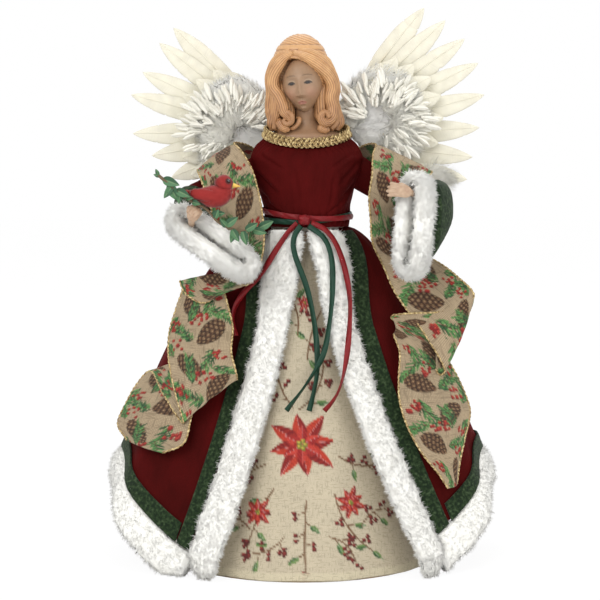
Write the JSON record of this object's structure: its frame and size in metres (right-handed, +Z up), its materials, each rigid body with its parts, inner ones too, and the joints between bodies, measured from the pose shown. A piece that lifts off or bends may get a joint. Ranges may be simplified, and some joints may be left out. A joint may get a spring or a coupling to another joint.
{
  "type": "angel tree topper",
  "caption": "Robed angel figure on a hollow card cone, with feather wings, fur-trimmed velvet robe, draped burlap ribbon and a bird on a sprig.",
  "frame": {"origin": "centre of the card cone's open bottom rim, on the surface that the figure stands on", "axes": "+Z up, the figure faces -Y, +X to the viewer's right"},
  "size_m": [0.2911, 0.2129, 0.406],
  "materials": {
    "card": "plain grey-brown card",
    "foam": "moulded foam",
    "dowel_wood": "plain beech",
    "steel_wire": "drawn wire",
    "red_velvet": "velvet pile",
    "linen": "plain woven linen with a printed front",
    "green_felt": "wool felt",
    "white_fur": "short white plush",
    "painted_skin": "hand-painted resin",
    "painted_resin": "hand-painted resin, face and hair",
    "gold_braid": "metallic plaited cord",
    "red_satin": "satin",
    "green_satin": "satin",
    "burlap": "printed burlap with wired gold edges",
    "wing_backing": "white card on a covered wire",
    "feather": "real feather, ivory",
    "down": "fluffy marabou feather",
    "red_flock": "flocked",
    "beak_yellow": "painted",
    "eye_black": "glossy bead",
    "leaf_green": "moulded leaves"
  },
  "bodies": {
    "figure": {"support_cone": "card", "torso_core": "foam", "neck_dowel": "dowel_wood", "arm_wire": "steel_wire", "bodice": "red_velvet", "underskirt": "linen", "robe": "red_velvet", "felt_front_left": "green_felt", "felt_front_right": "green_felt", "felt_hem": "green_felt", "fur_front_left": "white_fur", "fur_front_right": "white_fur", "fur_hem": "white_fur", "sleeve_left": "red_velvet", "sleeve_right": "red_velvet", "sleeve_felt_left": "green_felt", "sleeve_felt_right": "green_felt", "fur_cuff_left": "white_fur", "fur_cuff_right": "white_fur", "hand_left": "painted_skin", "hand_right": "painted_skin", "head": "painted_resin", "neck_braid": "gold_braid", "sash_red": "red_satin", "sash_green": "green_satin", "sash_knot": "red_satin", "tail_red_left": "red_satin", "tail_red_right": "red_satin", "tail_green_left": "green_satin", "tail_green_right": "green_satin", "burlap_ribbon_left": "burlap", "burlap_ribbon_right": "burlap", "wing_card": "card", "bird_body": "red_flock", "bird_beak": "beak_yellow", "bird_eye_left": "eye_black", "bird_eye_right": "eye_black", "sprig": "leaf_green"},
    "wing_left": {"wing_frame_left": "wing_backing", "covert_pad_left": "down", "primary_left_1": "feather", "primary_left_2": "feather", "primary_left_3": "feather", "primary_left_4": "feather", "primary_left_5": "feather", "primary_left_6": "feather", "primary_left_7": "feather"},
    "wing_right": {"wing_frame_right": "wing_backing", "covert_pad_right": "down", "primary_right_1": "feather", "primary_right_2": "feather", "primary_right_3": "feather", "primary_right_4": "feather", "primary_right_5": "feather", "primary_right_6": "feather", "primary_right_7": "feather"}
  },
  "joints": [
    {"name": "wing_left_fold", "type": "hinge", "parent": "figure", "child": "wing_left", "pos_m": [-0.0085, 0.02685, 0.298], "axis": [0, 0, -1], "range_deg": [0, 45]},
    {"name": "wing_right_fold", "type": "hinge", "parent": "figure", "child": "wing_right", "pos_m": [0.0155, 0.02685, 0.298], "axis": [0, 0, 1], "range_deg": [0, 45]}
  ]
}
